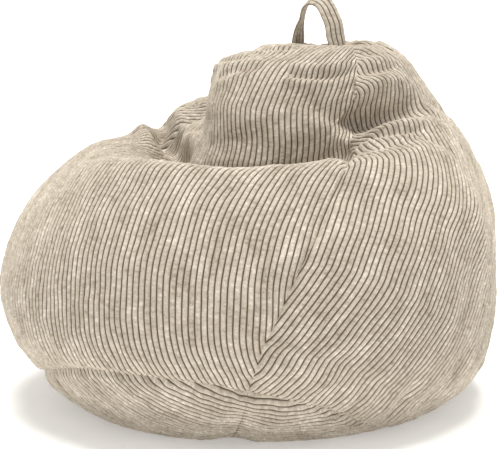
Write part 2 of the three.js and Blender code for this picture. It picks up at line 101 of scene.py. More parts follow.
# Outline of the bag in eight directions, 45 degrees apart from the front towards +X: pairs of
# [distance out, height] in mm, from the middle of the base to the top of the bag.
SECTIONS = np.array([
    [[0, 0], [225, 0], [310, 0], [402, 84], [450, 215], [425, 365], [345, 472],
     [260, 442], [212, 388], [190, 442], [178, 532], [118, 608], [0, 630]],
    [[0, 0], [225, 0], [310, 0], [402, 84], [450, 215], [428, 366], [345, 472],
     [262, 456], [218, 422], [195, 460], [184, 542], [118, 618], [0, 630]],
    [[0, 0], [240, 0], [335, 0], [420, 76], [452, 215], [433, 372], [350, 484],
     [290, 508], [243, 520], [210, 550], [186, 596], [118, 636], [0, 630]],
    [[0, 0], [265, 0], [372, 0], [438, 70], [454, 215], [440, 345], [383, 450],
     [323, 512], [277, 549], [234, 587], [187, 620], [110, 644], [0, 630]],
    [[0, 0], [260, 0], [362, 0], [432, 70], [455, 215], [450, 340], [398, 448],
     [335, 512], [285, 550], [235, 580], [178, 606], [98, 626], [0, 630]],
    [[0, 0], [250, 0], [345, 0], [420, 70], [450, 215], [432, 335], [370, 448],
     [314, 524], [264, 548], [210, 560], [165, 586], [118, 610], [0, 630]],
    [[0, 0], [235, 0], [325, 0], [408, 76], [448, 215], [415, 350], [328, 442],
     [280, 466], [232, 468], [180, 498], [172, 562], [150, 600], [0, 630]],
    [[0, 0], [225, 0], [310, 0], [398, 80], [446, 215], [405, 352], [322, 453],
     [258, 441], [210, 406], [170, 453], [173, 540], [150, 604], [0, 630]],
], float)
# How far the middle of each ring lies behind the middle of the base, in mm.
LEAN = np.array([0, 8, 12, 6, 0, 12, 50, 85, 112, 131, 148, 168, 185], float)
# How far it lies to the right, in mm.
SWAY = np.array([0, 0, 0, 0, 0, 0, 0, 0, 2, 6, 12, 20, 30], float)
TOP_RING = 12
# Directions of the gore seams at each ring, in degrees from the front towards +X.
SEAMS = {
    "frontRight": [35, 35, 34.5, 34.5, 40.6, 49.8, 60, 63, 65, 70.5, 67.5, 76, 100],
    "rearRight": [112, 112, 112, 118, 132, 134, 136, 136, 136, 136, 136, 136, 136],
    "rearLeft": [248, 248, 248, 240, 222, 216, 210, 208, 206, 206, 206, 206, 206],
    "frontLeft": [326, 326, 326, 322, 312, 302, 288, 278, 276, 276, 276, 276, 276],
}
# Ring at which the base is sewn to the gores, in the directions of the sections.
BASE_SEAM_RING = np.array([3.42, 3.17, 1.8, 1.25, 0.9, 1.3, 2.1, 2.75])


def taps(u: np.ndarray) -> list[np.ndarray]:
    """Weights of the four neighbours of a smooth curve through evenly spaced values.

    Args:
        u: Place between the two middle neighbours, from 0 to 1.

    Returns:
        Four arrays of weights.
    """
    return [
        0.5 * (-u + 2 * u**2 - u**3),
        0.5 * (2 - 5 * u**2 + 3 * u**3),
        0.5 * (u + 4 * u**2 - 3 * u**3),
        0.5 * (-(u**2) + u**3),
    ]


def smoothstep(x: np.ndarray, low: float, high: float) -> np.ndarray:
    """Smooth rise from 0 at low to 1 at high."""
    t = np.clip((x - low) / (high - low), 0, 1)
    return t * t * (3 - 2 * t)


def waves(points: np.ndarray, wavelength: float, seed: int, count: int = 7) -> np.ndarray:
    """Smooth irregular values between about -1 and 1 over space.

    Args:
        points: Places, in metres, with the coordinates last.
        wavelength: Typical distance between two highs.
        seed: Choice of the pattern.
        count: How many plane waves are added up.

    Returns:
        One value for each place.
    """
    draw = np.random.default_rng(seed)
    total = np.zeros(points.shape[:-1])
    for _ in range(count):
        direction = draw.normal(size=points.shape[-1])
        direction /= np.linalg.norm(direction)
        step = 2 * math.pi / (wavelength * draw.uniform(0.75, 1.5))
        total += np.sin(points @ (direction * step) + draw.uniform(0, 2 * math.pi))
    return total / math.sqrt(count)


def around(degrees: np.ndarray, values: np.ndarray) -> np.ndarray:
    """Value in a direction, from one value for each of the eight sections."""
    turn = np.mod(degrees, 360) / 45
    i = np.floor(turn).astype(int)
    return sum(w * values[(i + k - 1) % 8] for k, w in enumerate(taps(turn - i)))


def skin(degrees: np.ndarray, ring: np.ndarray) -> np.ndarray:
    """Points on the outside of the stuffed bag, in metres."""
    degrees, ring = np.broadcast_arrays(np.asarray(degrees, float), np.asarray(ring, float))
    turn = np.mod(degrees, 360) / 45
    i = np.floor(turn).astype(int)
    sideways = taps(turn - i)
    j = np.clip(np.floor(ring).astype(int), 0, TOP_RING - 1)
    out, up, back, right = (np.zeros(degrees.shape) for _ in range(4))
    for n, weight in enumerate(taps(ring - j)):
        k = j - 1 + n
        sign = np.where((k < 0) | (k > TOP_RING), -1.0, 1.0)
        k = np.where(k < 0, -k, np.where(k > TOP_RING, 2 * TOP_RING - k, k))
        for m, side in enumerate(sideways):
            pair = SECTIONS[(i + m - 1) % 8, k]
            out += weight * sign * side * pair[..., 0]
            up += weight * side * pair[..., 1]
        back += weight * LEAN[k]
        right += weight * SWAY[k]
    a = np.radians(degrees)
    return MM * np.stack([right + out * np.sin(a), back - out * np.cos(a), np.maximum(up, 0)], -1)


def skin_normal(degrees: np.ndarray, ring: np.ndarray) -> np.ndarray:
    """Outward direction of the outside of the bag."""
    degrees, ring = np.broadcast_arrays(np.asarray(degrees, float), np.asarray(ring, float))
    low, high = np.maximum(ring - 0.03, 0.02), np.minimum(ring + 0.03, TOP_RING - 0.02)
    middle = (low + high) / 2
    across = skin(degrees + 0.8, middle) - skin(degrees - 0.8, middle)
    rise = skin(degrees, high) - skin(degrees, low)
    normal = np.cross(across, rise)
    size = np.linalg.norm(normal, axis=-1, keepdims=True)
    normal = normal / np.maximum(size, 1e-12)
    top = smoothstep(ring, 11.6, 11.98)[..., None]
    normal = normal * (1 - top) + np.array([0.0, 0.0, 1.0]) * top
    return normal / np.linalg.norm(normal, axis=-1, keepdims=True)


@dataclass(frozen=True)
class Fold:
    """A crease or, with a negative depth, a roll along a line on the bag.

    Attributes:
        line: Pairs of direction in degrees and ring.
        depth: How far the cloth is drawn in, in metres.
        width: Half width of the crease.
        shoulder: Height of the swelling on both sides, as a share of the depth.
    """

    line: tuple[tuple[float, float], ...]
    depth: float
    width: float
    shoulder: float = 0.3

    def relief(self, points: np.ndarray) -> np.ndarray:
        """Outward movement of each point.

        Args:
            points: Places on the bag, in metres.

        Returns:
            One distance for each place, in metres.
        """
        steps = np.array(self.line, float)
        t = np.linspace(0, len(steps) - 1, 6 * (len(steps) - 1) + 1)
        places = skin(
            np.interp(t, range(len(steps)), steps[:, 0]), np.interp(t, range(len(steps)), steps[:, 1])
        )
        best = np.full(points.shape[:-1], 1.0)
        share = np.zeros(points.shape[:-1])
        for k in range(len(places) - 1):
            a, b = places[k], places[k + 1]
            run = b - a
            along = np.clip(((points - a) @ run) / max(float(run @ run), 1e-12), 0, 1)
            away = np.linalg.norm(points - a - along[..., None] * run, axis=-1)
            nearer = away < best
            best = np.where(nearer, away, best)
            share = np.where(nearer, (k + along) / (len(places) - 1), share)
        ends = np.sin(math.pi * np.clip(share, 0.0, 1.0)) ** 0.6
        x = best / self.width
        shape = -np.exp(-(x**2)) + self.shoulder * np.exp(-((x - 2.1) ** 2))
        return self.depth * shape * ends


FOLDS: tuple[Fold, ...] = (
    # the shelf across the upper part of the backrest
    Fold(((18, 10.7), (23.5, 10.69), (47.5, 10.57), (65.5, 10.49), (69, 10.5)), 0.011, 0.010, 0.55),
    Fold(((69.5, 10.35), (82, 10.2), (96, 9.95), (108, 9.8)), 0.008, 0.011, 0.5),
    # the deep fold where the right arm meets the backrest, and the roll below it
    Fold(((64, 9.4), (70.5, 9.0), (78, 8.8), (85, 8.6), (102, 8.1), (114.5, 7.83)), 0.035, 0.021, 0.4),
    Fold(((62, 8.3), (72, 8.0), (80, 7.55), (92, 7.15), (101, 6.95)), 0.009, 0.010, 0.5),
    Fold(((84, 6.78), (88, 6.82), (92, 6.86)), -0.005, 0.008, 0.0),
    # the crease all along the back of the seat
    Fold(((-66, 8.05), (-40, 8.1), (-10, 8.05), (20, 8.1), (48, 8.25), (66, 8.3)), 0.033, 0.027, 0.15),
    # the sharp crease across the left arm, and the gathers behind it
    Fold(((-101, 6.75), (-92, 7.2), (-75, 8.0), (-57, 8.34), (-44, 8.4)), 0.036, 0.017, 0.25),
    Fold(((-118, 6.9), (-109, 7.1), (-103, 7.4), (-100, 8.0), (-98, 8.8)), -0.014, 0.040, 0.0),
    Fold(((-78, 8.3), (-70, 8.7), (-58, 9.4)), 0.005, 0.012, 0.4),
    Fold(((-112, 7.2), (-99, 8.1), (-86, 9.3)), 0.004, 0.014, 0.4),
    # gathers round the top
    Fold(((-64, 10.7), (-48, 11.0), (-30, 11.1)), 0.006, 0.009, 0.5),
    Fold(((-40, 10.4), (-22, 10.75), (0, 10.85)), 0.005, 0.010, 0.5),
    Fold(((-70, 11.3), (-40, 11.45), (0, 11.5)), 0.006, 0.008, 0.5),
    Fold(((-92, 11.0), (-78, 10.7), (-60, 10.3)), 0.008, 0.010, 0.5),
    Fold(((-96, 11.6), (-78, 11.35), (-62, 11.2)), 0.007, 0.009, 0.5),
    Fold(((120, 10.8), (135, 11.0), (150, 10.8)), 0.006, 0.012),
    Fold(((200, 10.6), (225, 10.8), (250, 10.6)), 0.006, 0.012),
)


@dataclass(frozen=True)
class Gore:
    """One of the four tall panels of the cover.

    Attributes:
        name: Name of the panel.
        start: Name of the seam on its clockwise side.
        end: Name of the seam on its other side.
        turn: Degrees added to the second seam where it has passed the front.
    """

    name: str
    start: str
    end: str
    turn: float = 0.0

    def direction(self, share: np.ndarray, ring: np.ndarray) -> np.ndarray:
        """Direction in degrees at a share of the way across the panel."""
        rings = np.arange(TOP_RING + 1)
        a = np.interp(ring, rings, SEAMS[self.start])
        b = np.interp(ring, rings, SEAMS[self.end]) + self.turn
        return a + (b - a) * share

    def first_ring(self, share: np.ndarray) -> np.ndarray:
        """Ring where the panel starts, at the base seam."""
        ring = np.full(np.shape(share), 2.0)
        for _ in range(20):
            ring = around(self.direction(share, ring), BASE_SEAM_RING)
        return ring

    def place(self, share: np.ndarray, rise: np.ndarray) -> tuple[np.ndarray, np.ndarray]:
        """Direction and ring at a share across and a rise up the panel, both from 0 to 1."""
        share, rise = np.broadcast_arrays(share, rise)
        first = self.first_ring(share)
        ring = first + (TOP_RING - first) * rise
        return self.direction(share, ring), ring


GORES: tuple[Gore, ...] = (
    Gore("right_panel", "frontRight", "rearRight"),
    Gore("back_panel", "rearRight", "rearLeft"),
    Gore("left_panel", "rearLeft", "frontLeft"),
    Gore("front_panel", "frontLeft", "frontRight", 360.0),
)


@dataclass
class Surface:
    """The smooth outside of the bag with its folds, before the ribs of the cloth.

    Attributes:
        lump: Height of the soft unevenness that the beads leave.
        lump_length: Distance between two lumps.
        drift: Movement of the cloth of each gore from the simulation, on an even grid.
    """

    lump: float = 0.0022
    lump_length: float = 0.16
    drift: dict[str, np.ndarray] = field(default_factory=dict)

    def relief(self, points: np.ndarray) -> np.ndarray:
        """Outward movement by the folds and lumps."""
        total = self.lump * waves(points, self.lump_length, 3)
        total += 0.4 * self.lump * waves(points, self.lump_length / 3, 4)
        for fold in FOLDS:
            total = total + fold.relief(points)
        return total * smoothstep(points[..., 2], 0.004, 0.06)

    def point(self, degrees: np.ndarray, ring: np.ndarray) -> tuple[np.ndarray, np.ndarray]:
        """Point on the bag and the outward direction there."""
        place = skin(degrees, ring)
        normal = skin_normal(degrees, ring)
        return place + normal * self.relief(place)[..., None], normal

    def on_gore(
        self, gore: Gore, share: np.ndarray, rise: np.ndarray
    ) -> tuple[np.ndarray, np.ndarray]:
        """Point on a gore and the outward direction there, with the movement of the cloth."""
        place, normal = self.point(*gore.place(share, rise))
        if gore.name in self.drift:
            place = place + sample_grid(self.drift[gore.name], share, rise)
        return place, normal


def sample_grid(grid: np.ndarray, u: np.ndarray, v: np.ndarray) -> np.ndarray:
    """Smoothly read an even grid of values.

    Args:
        grid: Values with the first axis over u and the second over v.
        u: Places along the first axis, from 0 to 1.
        v: Places along the second axis, from 0 to 1.

    Returns:
        The values at the places.
    """
    u, v = np.broadcast_arrays(u, v)
    nu, nv = grid.shape[0] - 1, grid.shape[1] - 1
    i = np.clip(np.floor(u * nu).astype(int), 0, nu - 1)
    j = np.clip(np.floor(v * nv).astype(int), 0, nv - 1)
    wu, wv = taps(u * nu - i), taps(v * nv - j)
    total = 0.0
    for a in range(4):
        ia = np.clip(i + a - 1, 0, nu)
        for b in range(4):
            jb = np.clip(j + b - 1, 0, nv)
            total = total + (wu[a] * wv[b])[..., None] * grid[ia, jb]
    return total


# ---- corduroy ------------------------------------------------------------------------------------


@dataclass(frozen=True)
class Corduroy:
    """Ribbed cloth as real relief: jumbo corduroy with rounded wales.

    Attributes:
        pitch: Distance between two wales.
        height: Depth of the groove between them.
        proud: How far the tops stand out of the mean surface.
        phases: Places across one wale that get a column of points, from 0 to 1.
        uneven: Share by which the height of a wale changes along it.
    """

    pitch: float = 0.0108
    height: float = 0.0034
    proud: float = 0.0008
    phases: tuple[float, ...] = (0.0, 0.12, 0.3, 0.5, 0.7, 0.88)
    uneven: float = 0.12

    def columns(self, low: float, high: float) -> np.ndarray:
        """Places of the columns of points between two edges of the flat cut."""
        first, last = math.floor(low / self.pitch) - 1, math.ceil(high / self.pitch) + 1
        return np.array([(k + p) * self.pitch for k in range(first, last) for p in self.phases])

    def relief(self, x: np.ndarray, y: np.ndarray) -> np.ndarray:
        """Height of the pile above the backing cloth at a place of the flat cut."""
        phase = np.mod(x / self.pitch, 1.0)
        rounded = 1 - np.abs(2 * phase - 1) ** 2.3
        wale = np.floor(x / self.pitch)
        place = np.stack(np.broadcast_arrays(wale * 0.031, y), -1)
        return self.height * rounded * (1 + self.uneven * waves(place, 0.022, 11))


CLOTH = Corduroy()


@dataclass(frozen=True)
class SeamPull:
    """How a seam draws the cloth in.

    Attributes:
        depth: Depth of the narrow groove right at the seam.
        reach: Half width of that groove.
        swell: Depth of the wide hollow along the seam.
        swell_reach: Half width of the hollow.
        pucker: Height of the small ripples that run away from the seam.
        pucker_length: Distance between two ripples.
        pucker_reach: How far they run.
        slack: Share of the pull that is gone on the loose upper half of the gores.
    """

    depth: float = 0.0065
    reach: float = 0.0075
    swell: float = 0.0035
    swell_reach: float = 0.028
    pucker: float = 0.0016
    pucker_length: float = 0.030
    pucker_reach: float = 0.030
    slack: float = 0.8

    def relief(self, away: np.ndarray, along: np.ndarray, seed: int) -> np.ndarray:
        """Outward movement at a distance from the seam and a place along it."""
        groove = -self.depth * np.exp(-((away / self.reach) ** 2))
        groove = groove - self.swell * np.exp(-((away / self.swell_reach) ** 2))
        place = np.stack(np.broadcast_arrays(along, 0.25 * away), -1)
        ripple = waves(place, self.pucker_length, seed) * np.exp(-away / self.pucker_reach)
        return groove + self.pucker * ripple * (1 - np.exp(-((away / 0.004) ** 2)))


SEAM = SeamPull()
# Lean of the wales from the middle line of each gore, as pairs of rise and degrees.
STRAIGHT = ((0.0, 0.0), (1.0, 0.0))
GRAIN = {
    "right_panel": (
        (0.0, 8.0), (0.08, 11.0), (0.2, 15.0), (0.28, 30.0), (0.36, 5.0), (0.41, -7.0), (0.5, -6.0),
        (0.7, -20.0), (1.0, -10.0),
    ),
    "back_panel": STRAIGHT,
    "left_panel": STRAIGHT,
    "front_panel": ((0.0, -3.0), (0.1, -4.0), (0.4, -4.0), (0.55, -6.0), (0.66, -13.0), (1.0, -12.0)),
}


def mesh_object(
    name: str,
    points: np.ndarray,
    faces: np.ndarray,
    cut: np.ndarray | None = None,
    weld: float = 1e-6,
) -> bpy.types.Object:
    """Makes a smooth mesh object from points and faces.

    Args:
        name: Name of the piece.
        points: Places of the points.
        faces: Indices of the corners of each face.
        cut: Place of each point on the flat cut, which becomes the UV map.
        weld: Distance under which points become one.

    Returns:
        The new object, linked to the scene.
    """
    mesh = bpy.data.meshes.new(name)
    mesh.from_pydata(points.tolist(), [], faces.tolist())
    if cut is not None:
        layer = mesh.uv_layers.new(name="cut")
        corner = np.zeros(len(mesh.loops), np.int32)
        mesh.loops.foreach_get("vertex_index", corner)
        layer.data.foreach_set("uv", cut[corner].astype(np.float32).ravel())
    work = bmesh.new()
    work.from_mesh(mesh)
    bmesh.ops.remove_doubles(work, verts=work.verts, dist=weld)
    bmesh.ops.dissolve_degenerate(work, dist=1e-7, edges=work.edges)
    for face in work.faces:
        face.smooth = True
    work.to_mesh(mesh)
    work.free()
    piece = bpy.data.objects.new(name, mesh)
    bpy.context.scene.collection.objects.link(piece)
    return piece


def grid_faces(rows: int, columns: int) -> np.ndarray:
    """Corner indices of the faces of a grid whose rows are stored one after another."""
    index = np.arange(rows * columns).reshape(rows, columns)
    a, b = index[:-1, :-1], index[:-1, 1:]
    c, d = index[1:, 1:], index[1:, :-1]
    return np.stack([a, b, c, d], -1).reshape(-1, 4)


@dataclass(frozen=True)
class Billow:
    """How the fill presses the sewn cover out, from a cloth simulation of all four gores.

    Attributes:
        shares: Columns of the net on each gore.
        rises: Rows of the net.
        pressure: Pressure of the fill.
        looseness: Share by which the cloth is larger than the form that it covers.
        seam_hold: How firmly the seams keep their place, from 0 to 1.
        frames: How many frames it runs.
        stretch: Stiffness of the cloth against stretching and pressing together.
        shear: Stiffness against leaning.
        bend: Stiffness against bending.
        cap: The furthest that a point may move, in metres.
        inside: How far inside the finished form the net starts, in metres.
    """

    shares: int = 33
    rises: int = 57
    pressure: float = 4.0
    looseness: float = 0.035
    seam_hold: float = 0.35
    frames: int = 20
    stretch: float = 14.0
    shear: float = 4.0
    bend: float = 0.6
    cap: float = 0.012
    inside: float = 0.009

    def net(self, surface: Surface) -> tuple[bpy.types.Object, np.ndarray, np.ndarray]:
        """Makes the coarse sewn cover.

        Args:
            surface: The outside of the bag.

        Returns:
            The net, its points, and the index of the point at each place of each gore.
        """
        shares, rises = np.linspace(0, 1, self.shares), np.linspace(0, 1, self.rises)
        room = self.inside * self.window()[None, :, None]
        grids = []
        for gore in GORES:
            place, normal = surface.on_gore(gore, shares[:, None], rises[None, :])
            grids.append(place - normal * room)
        loose = np.concatenate(grids).reshape(-1, 3)
        _, first, index = np.unique(
            np.round(loose, 6), axis=0, return_index=True, return_inverse=True
        )
        index = index.reshape(len(GORES), self.shares, self.rises)
        faces = []
        for sheet in index:
            a, b = sheet[:-1, :-1], sheet[1:, :-1]
            c, d = sheet[1:, 1:], sheet[:-1, 1:]
            for corners in np.stack([a, b, c, d], -1).reshape(-1, 4):
                ring = list(dict.fromkeys(corners.tolist()))
                if len(ring) > 2:
                    faces.append(ring)
        mesh = bpy.data.meshes.new("cover_net")
        mesh.from_pydata(loose[first].tolist(), [], faces)
        net = bpy.data.objects.new("cover_net", mesh)
        bpy.context.scene.collection.objects.link(net)
        return net, loose[first], index

    def hold(self, net: bpy.types.Object, index: np.ndarray) -> None:
        """Pins the base seam and the top, and holds the other seams softly."""
        group = net.vertex_groups.new(name="hold")
        seams = np.unique(index[:, [0, -1], :])
        group.add(seams.tolist(), self.seam_hold, "REPLACE")
        pinned = np.unique(np.concatenate([index[:, :, :2].ravel(), index[:, :, -2:].ravel()]))
        group.add(pinned.tolist(), 1.0, "REPLACE")

    def settle(self, surface: Surface) -> dict[str, np.ndarray]:
        """Runs the simulation.

        Args:
            surface: The outside of the bag.
        """
        net, rest, index = self.net(surface)
        self.hold(net, index)
        cloth = net.modifiers.new("cloth", "CLOTH")
        stuff = cloth.settings
        stuff.quality = 6
        stuff.mass = 0.3
        stuff.tension_stiffness = stuff.compression_stiffness = self.stretch
        stuff.shear_stiffness = self.shear
        stuff.bending_stiffness = self.bend
        stuff.air_damping = 2.0
        stuff.vertex_group_mass = "hold"
        stuff.use_pressure = True
        stuff.uniform_pressure_force = self.pressure
        stuff.shrink_min = -self.looseness
        stuff.effector_weights.gravity = 0.0
        cloth.collision_settings.use_collision = False
        cloth.point_cache.frame_start, cloth.point_cache.frame_end = 1, self.frames
        scene = bpy.context.scene
        for frame in range(1, self.frames + 1):
            scene.frame_set(frame)
        ready = net.evaluated_get(bpy.context.evaluated_depsgraph_get())
        moved = np.zeros(3 * len(rest), np.float32)
        ready.data.vertices.foreach_get("co", moved)
        scene.frame_set(1)
        drift = moved.reshape(-1, 3).astype(float) - rest
        size = np.linalg.norm(drift, axis=-1, keepdims=True)
        drift *= self.cap * np.tanh(size / self.cap) / np.maximum(size, 1e-9)
        bpy.data.objects.remove(net)
        shares, rises = np.linspace(0, 1, self.shares), np.linspace(0, 1, self.rises)
        room = self.inside * self.window()[None, :, None]
        settled = {}
        for k, gore in enumerate(GORES):
            _, normal = surface.on_gore(gore, shares[:, None], rises[None, :])
            settled[gore.name] = (drift[index[k]] - room * normal) * self.window()[None, :, None]
        return settled

    def window(self) -> np.ndarray:
        """Share of the movement at each row: none at the base seam and at the top."""
        rises = np.linspace(0, 1, self.rises)
        return smoothstep(rises, 0.0, 0.08) * (1 - smoothstep(rises, 0.93, 1.0))


@dataclass
class GorePanel:
    """One gore of the cover, made of wales that run up the cut and stop at its seams.

    Attributes:
        gore: Where the panel lies.
        rows: How many rows of points run across it.
        samples: How finely each row is measured.
        seed: Choice of its ripples.
        grain: Lean of the wales in degrees, in pairs with the rise where they have it.
        flat: Greatest width and length of the cut, measured when it is built.
        area: Area of the cut, measured when it is built.
    """

    gore: Gore
    rows: int = 216
    samples: int = 141
    seed: int = 20
    grain: tuple[tuple[float, float], ...] = ((0.0, 0.0), (1.0, 0.0))
    flat: tuple[float, float] = (0.0, 0.0)
    area: float = 0.0

    def build(self, surface: Surface) -> bpy.types.Object:
        """Makes the panel.

        Args:
            surface: The outside of the bag.

        Returns:
            The finished piece.
        """
        shares = np.linspace(0, 1, self.samples)
        rises = np.linspace(0, 1, self.rows) * 0.9985
        place, _ = surface.on_gore(self.gore, shares[None, :], rises[:, None])
        across = np.linalg.norm(np.diff(place, axis=1), axis=2)
        x = np.concatenate([np.zeros((self.rows, 1)), np.cumsum(across, 1)], 1)
        x -= x[:, [self.samples // 2]]
        rise = np.linalg.norm(np.diff(place, axis=0), axis=2)
        y = np.concatenate([np.zeros((1, self.samples)), np.cumsum(rise, 0)], 0)
        middle = y[:, self.samples // 2]
        lean = np.interp(rises, *np.array(self.grain).T)
        drift = np.concatenate([[0], np.cumsum(np.tan(np.radians(lean[1:])) * np.diff(middle))])
        x -= (drift - drift.mean())[:, None]
        columns = CLOTH.columns(x.min(), x.max())
        wide = len(columns)
        share, cut_x, base_away = (np.zeros((self.rows, wide)) for _ in range(3))
        for r in range(self.rows):
            low, high = x[r, 0], x[r, -1]
            wobble = 0.0009 * waves(
                np.stack([columns, np.full(wide, middle[r])], -1), 0.11, self.seed + 1
            )
            wanted = columns + wobble
            wanted = np.where(wanted < low + 0.0005, low, wanted)
            wanted = np.where(wanted > high - 0.0005, high, wanted)
            share[r] = np.interp(wanted, x[r], shares)
            cut_x[r] = np.clip(columns, low, high)
            cut_x[r] = np.where((wanted <= low) | (wanted >= high), np.clip(wanted, low, high), cut_x[r])
            base_away[r] = np.interp(share[r], shares, y[r])
        point, normal = surface.on_gore(self.gore, share, rises[:, None])
        low, high = x[:, [0]], x[:, [-1]]
        edge = share * 0
        for r in range(self.rows):
            here = np.interp(share[r], shares, x[r])
            edge[r] = np.minimum(here - low[r], high[r] - here)
        along = np.repeat(middle[:, None], wide, 1)
        slack = 1 - SEAM.slack * smoothstep(rises, 0.5, 0.66)
        side_pull = SEAM.relief(edge, along, self.seed) * slack[:, None]
        base_pull = SEAM.relief(base_away, cut_x, self.seed + 5)
        pull = np.where(side_pull < base_pull, side_pull, base_pull)
        near = np.minimum(edge, base_away)
        ribs = CLOTH.relief(cut_x, along) - CLOTH.height + CLOTH.proud
        ribs = ribs * smoothstep(near, -0.001, 0.004)
        lift = smoothstep(point[..., 2], 0.0, 0.05)
        low_down = np.exp(-((base_away / 0.03) ** 2)) * (1 - lift)
        normal = normal * (1 - low_down)[..., None] + DOWN * low_down[..., None]
        normal /= np.linalg.norm(normal, axis=-1, keepdims=True)
        pull = pull * (1 - np.minimum(low_down, 0.7))
        point = point + normal * (pull + ribs)[..., None]
        point[..., 2] = np.maximum(point[..., 2], 0.0004)
        self.flat = (float((high - low).max()), float(middle[-1]))
        self.area = float(np.trapz((high - low)[:, 0], middle))
        cut = np.stack([cut_x, along], -1).reshape(-1, 2)
        return mesh_object(
            self.gore.name + "_cord", point.reshape(-1, 3), grid_faces(self.rows, wide), cut
        )


@dataclass
class BasePanel:
    """One half of the base, with wales square to the seam in the middle.

    Attributes:
        name: Name of the CAD node that it stands for.
        side: 1 for the half towards the back right, -1 for the other.
        rows: How many rows of points run along the middle seam.
        samples: How finely each row is measured.
        slot: Half width of the opening for the zip.
        zip_range: Where the zip runs along the seam.
        pinch: Height to which the cloth is drawn up along the seam.
        pinch_width: How wide that is.
        seed: Choice of its ripples.
        flat: Greatest width and length of the cut, measured when it is built.
        area: Area of the cut, measured when it is built.
    """

    name: str
    side: int
    rows: int = 96
    samples: int = 161
    slot: float = 0.0045
    zip_range: tuple[float, float] = (0.095, 0.495)
    pinch: float = 0.008
    pinch_width: float = 0.030
    seed: int = 60
    flat: tuple[float, float] = (0.0, 0.0)
    area: float = 0.0

    def rim(self) -> np.ndarray:
        """Points of the base seam from the front end of the middle seam to its rear end."""
        front, back = seam_end(GORES[0]), seam_end(GORES[2])
        turn = np.linspace(front, back, 400) if self.side > 0 else np.linspace(front, back - 360, 400)
        return skin(turn, around(turn, BASE_SEAM_RING))

    def build(self, surface: Surface) -> bpy.types.Object:
        """Makes the half.

        Args:
            surface: The outside of the bag.

        Returns:
            The finished piece.
        """
        rim = self.rim()
        start, end = rim[-1] * [1, 1, 0], rim[0] * [1, 1, 0]
        length = float(np.linalg.norm(end - start))
        along = (end - start) / length
        across = np.array([-along[1], along[0], 0.0]) * self.side
        rim_s, rim_q = (rim - start) @ along, (rim - start) @ across
        far = int(rim_q.argmax())
        q_rows = rim_q[far] * np.sin(np.linspace(0, math.pi / 2, self.rows)) * 0.99995
        shares = np.linspace(0, 1, self.samples)
        front_part = slice(0, far + 1)
        high = np.interp(q_rows, rim_q[front_part], rim_s[front_part])
        low = np.interp(q_rows, rim_q[far:][::-1], rim_s[far:][::-1])
        s = low[:, None] + (high - low)[:, None] * shares[None, :]
        point, _, _ = self.locate(surface, start, along, across, s, q_rows[:, None] + 0 * s)
        step = np.linalg.norm(np.diff(point, axis=1), axis=2)
        x = np.concatenate([np.zeros((self.rows, 1)), np.cumsum(step, 1)], 1)
        middle = [np.interp(length / 2, s[r], x[r]) for r in range(self.rows)]
        x -= np.array(middle)[:, None]
        columns = CLOTH.columns(x.min(), x.max())
        wide = len(columns)
        place_s, cut_x = np.zeros((self.rows, wide)), np.zeros((self.rows, wide))
        for r in range(self.rows):
            wanted = np.where(columns < x[r, 0] + 0.0005, x[r, 0], columns)
            wanted = np.where(wanted > x[r, -1] - 0.0005, x[r, -1], wanted)
            place_s[r] = np.interp(wanted, x[r], s[r])
            cut_x[r] = wanted
        place_q = np.repeat(q_rows[:, None], wide, 1)
        opening = np.where(
            (place_s[0] > self.zip_range[0]) & (place_s[0] < self.zip_range[1]), self.slot, 0.0003
        )
        place_q[0] = np.minimum(opening, q_rows[1] * 0.8)
        point, normal, lift = self.locate(surface, start, along, across, place_s, place_q)
        flat_rim = rim[::2]
        away = np.full(point.shape[:-1], 1.0)
        base = skin_plan(start, along, across, place_s, place_q)
        for k in range(len(flat_rim)):
            away = np.minimum(away, np.linalg.norm(base - flat_rim[k], axis=-1))
        away = np.where((cut_x <= x[:, [0]]) | (cut_x >= x[:, [-1]]), 0.0, away)
        pull = SEAM.relief(away, np.arctan2(base[..., 1], base[..., 0]) * 0.4, self.seed)
        ribs = CLOTH.relief(cut_x, place_q) - CLOTH.height + CLOTH.proud * lift
        ribs = ribs * smoothstep(np.minimum(away, place_q), -0.001, 0.004)
        point = point + normal * (pull * np.maximum(lift, 0.3) + ribs)[..., None]
        raised = np.exp(-((place_q / self.pinch_width) ** 2))
        raised *= smoothstep(np.minimum(place_s, length - place_s), 0, 0.06)
        point[..., 2] = np.maximum(point[..., 2] + self.pinch * raised, 0.0003)
        self.flat = (float((high - low).max()) * 1.02, float(q_rows[-1]) * 1.1)
        self.area = float(np.trapz(x[:, -1] - x[:, 0], q_rows)) * 1.02
        cut = np.stack([cut_x, place_q], -1).reshape(-1, 2)
        faces = grid_faces(self.rows, wide)
        if self.side > 0:
            faces = faces[:, ::-1]
        return mesh_object(self.name + "_cord", point.reshape(-1, 3), faces, cut)

    def locate(
        self,
        surface: Surface,
        start: np.ndarray,
        along: np.ndarray,
        across: np.ndarray,
        s: np.ndarray,
        q: np.ndarray,
    ) -> tuple[np.ndarray, np.ndarray, np.ndarray]:
        """Points of the base from their places along and across the middle seam."""
        degrees, ring = plan_to_ring(start + s[..., None] * along + q[..., None] * across)
        point, normal = surface.point(degrees, ring)
        lift = smoothstep(point[..., 2], 0.0, 0.05)
        normal = normal * lift[..., None] + DOWN * (1 - lift[..., None])
        normal /= np.linalg.norm(normal, axis=-1, keepdims=True)
        return point, normal, lift


def seam_end(gore: Gore) -> float:
    """Direction in which the first seam of a gore meets the base seam."""
    return float(gore.direction(np.array(0.0), gore.first_ring(np.array(0.0))))


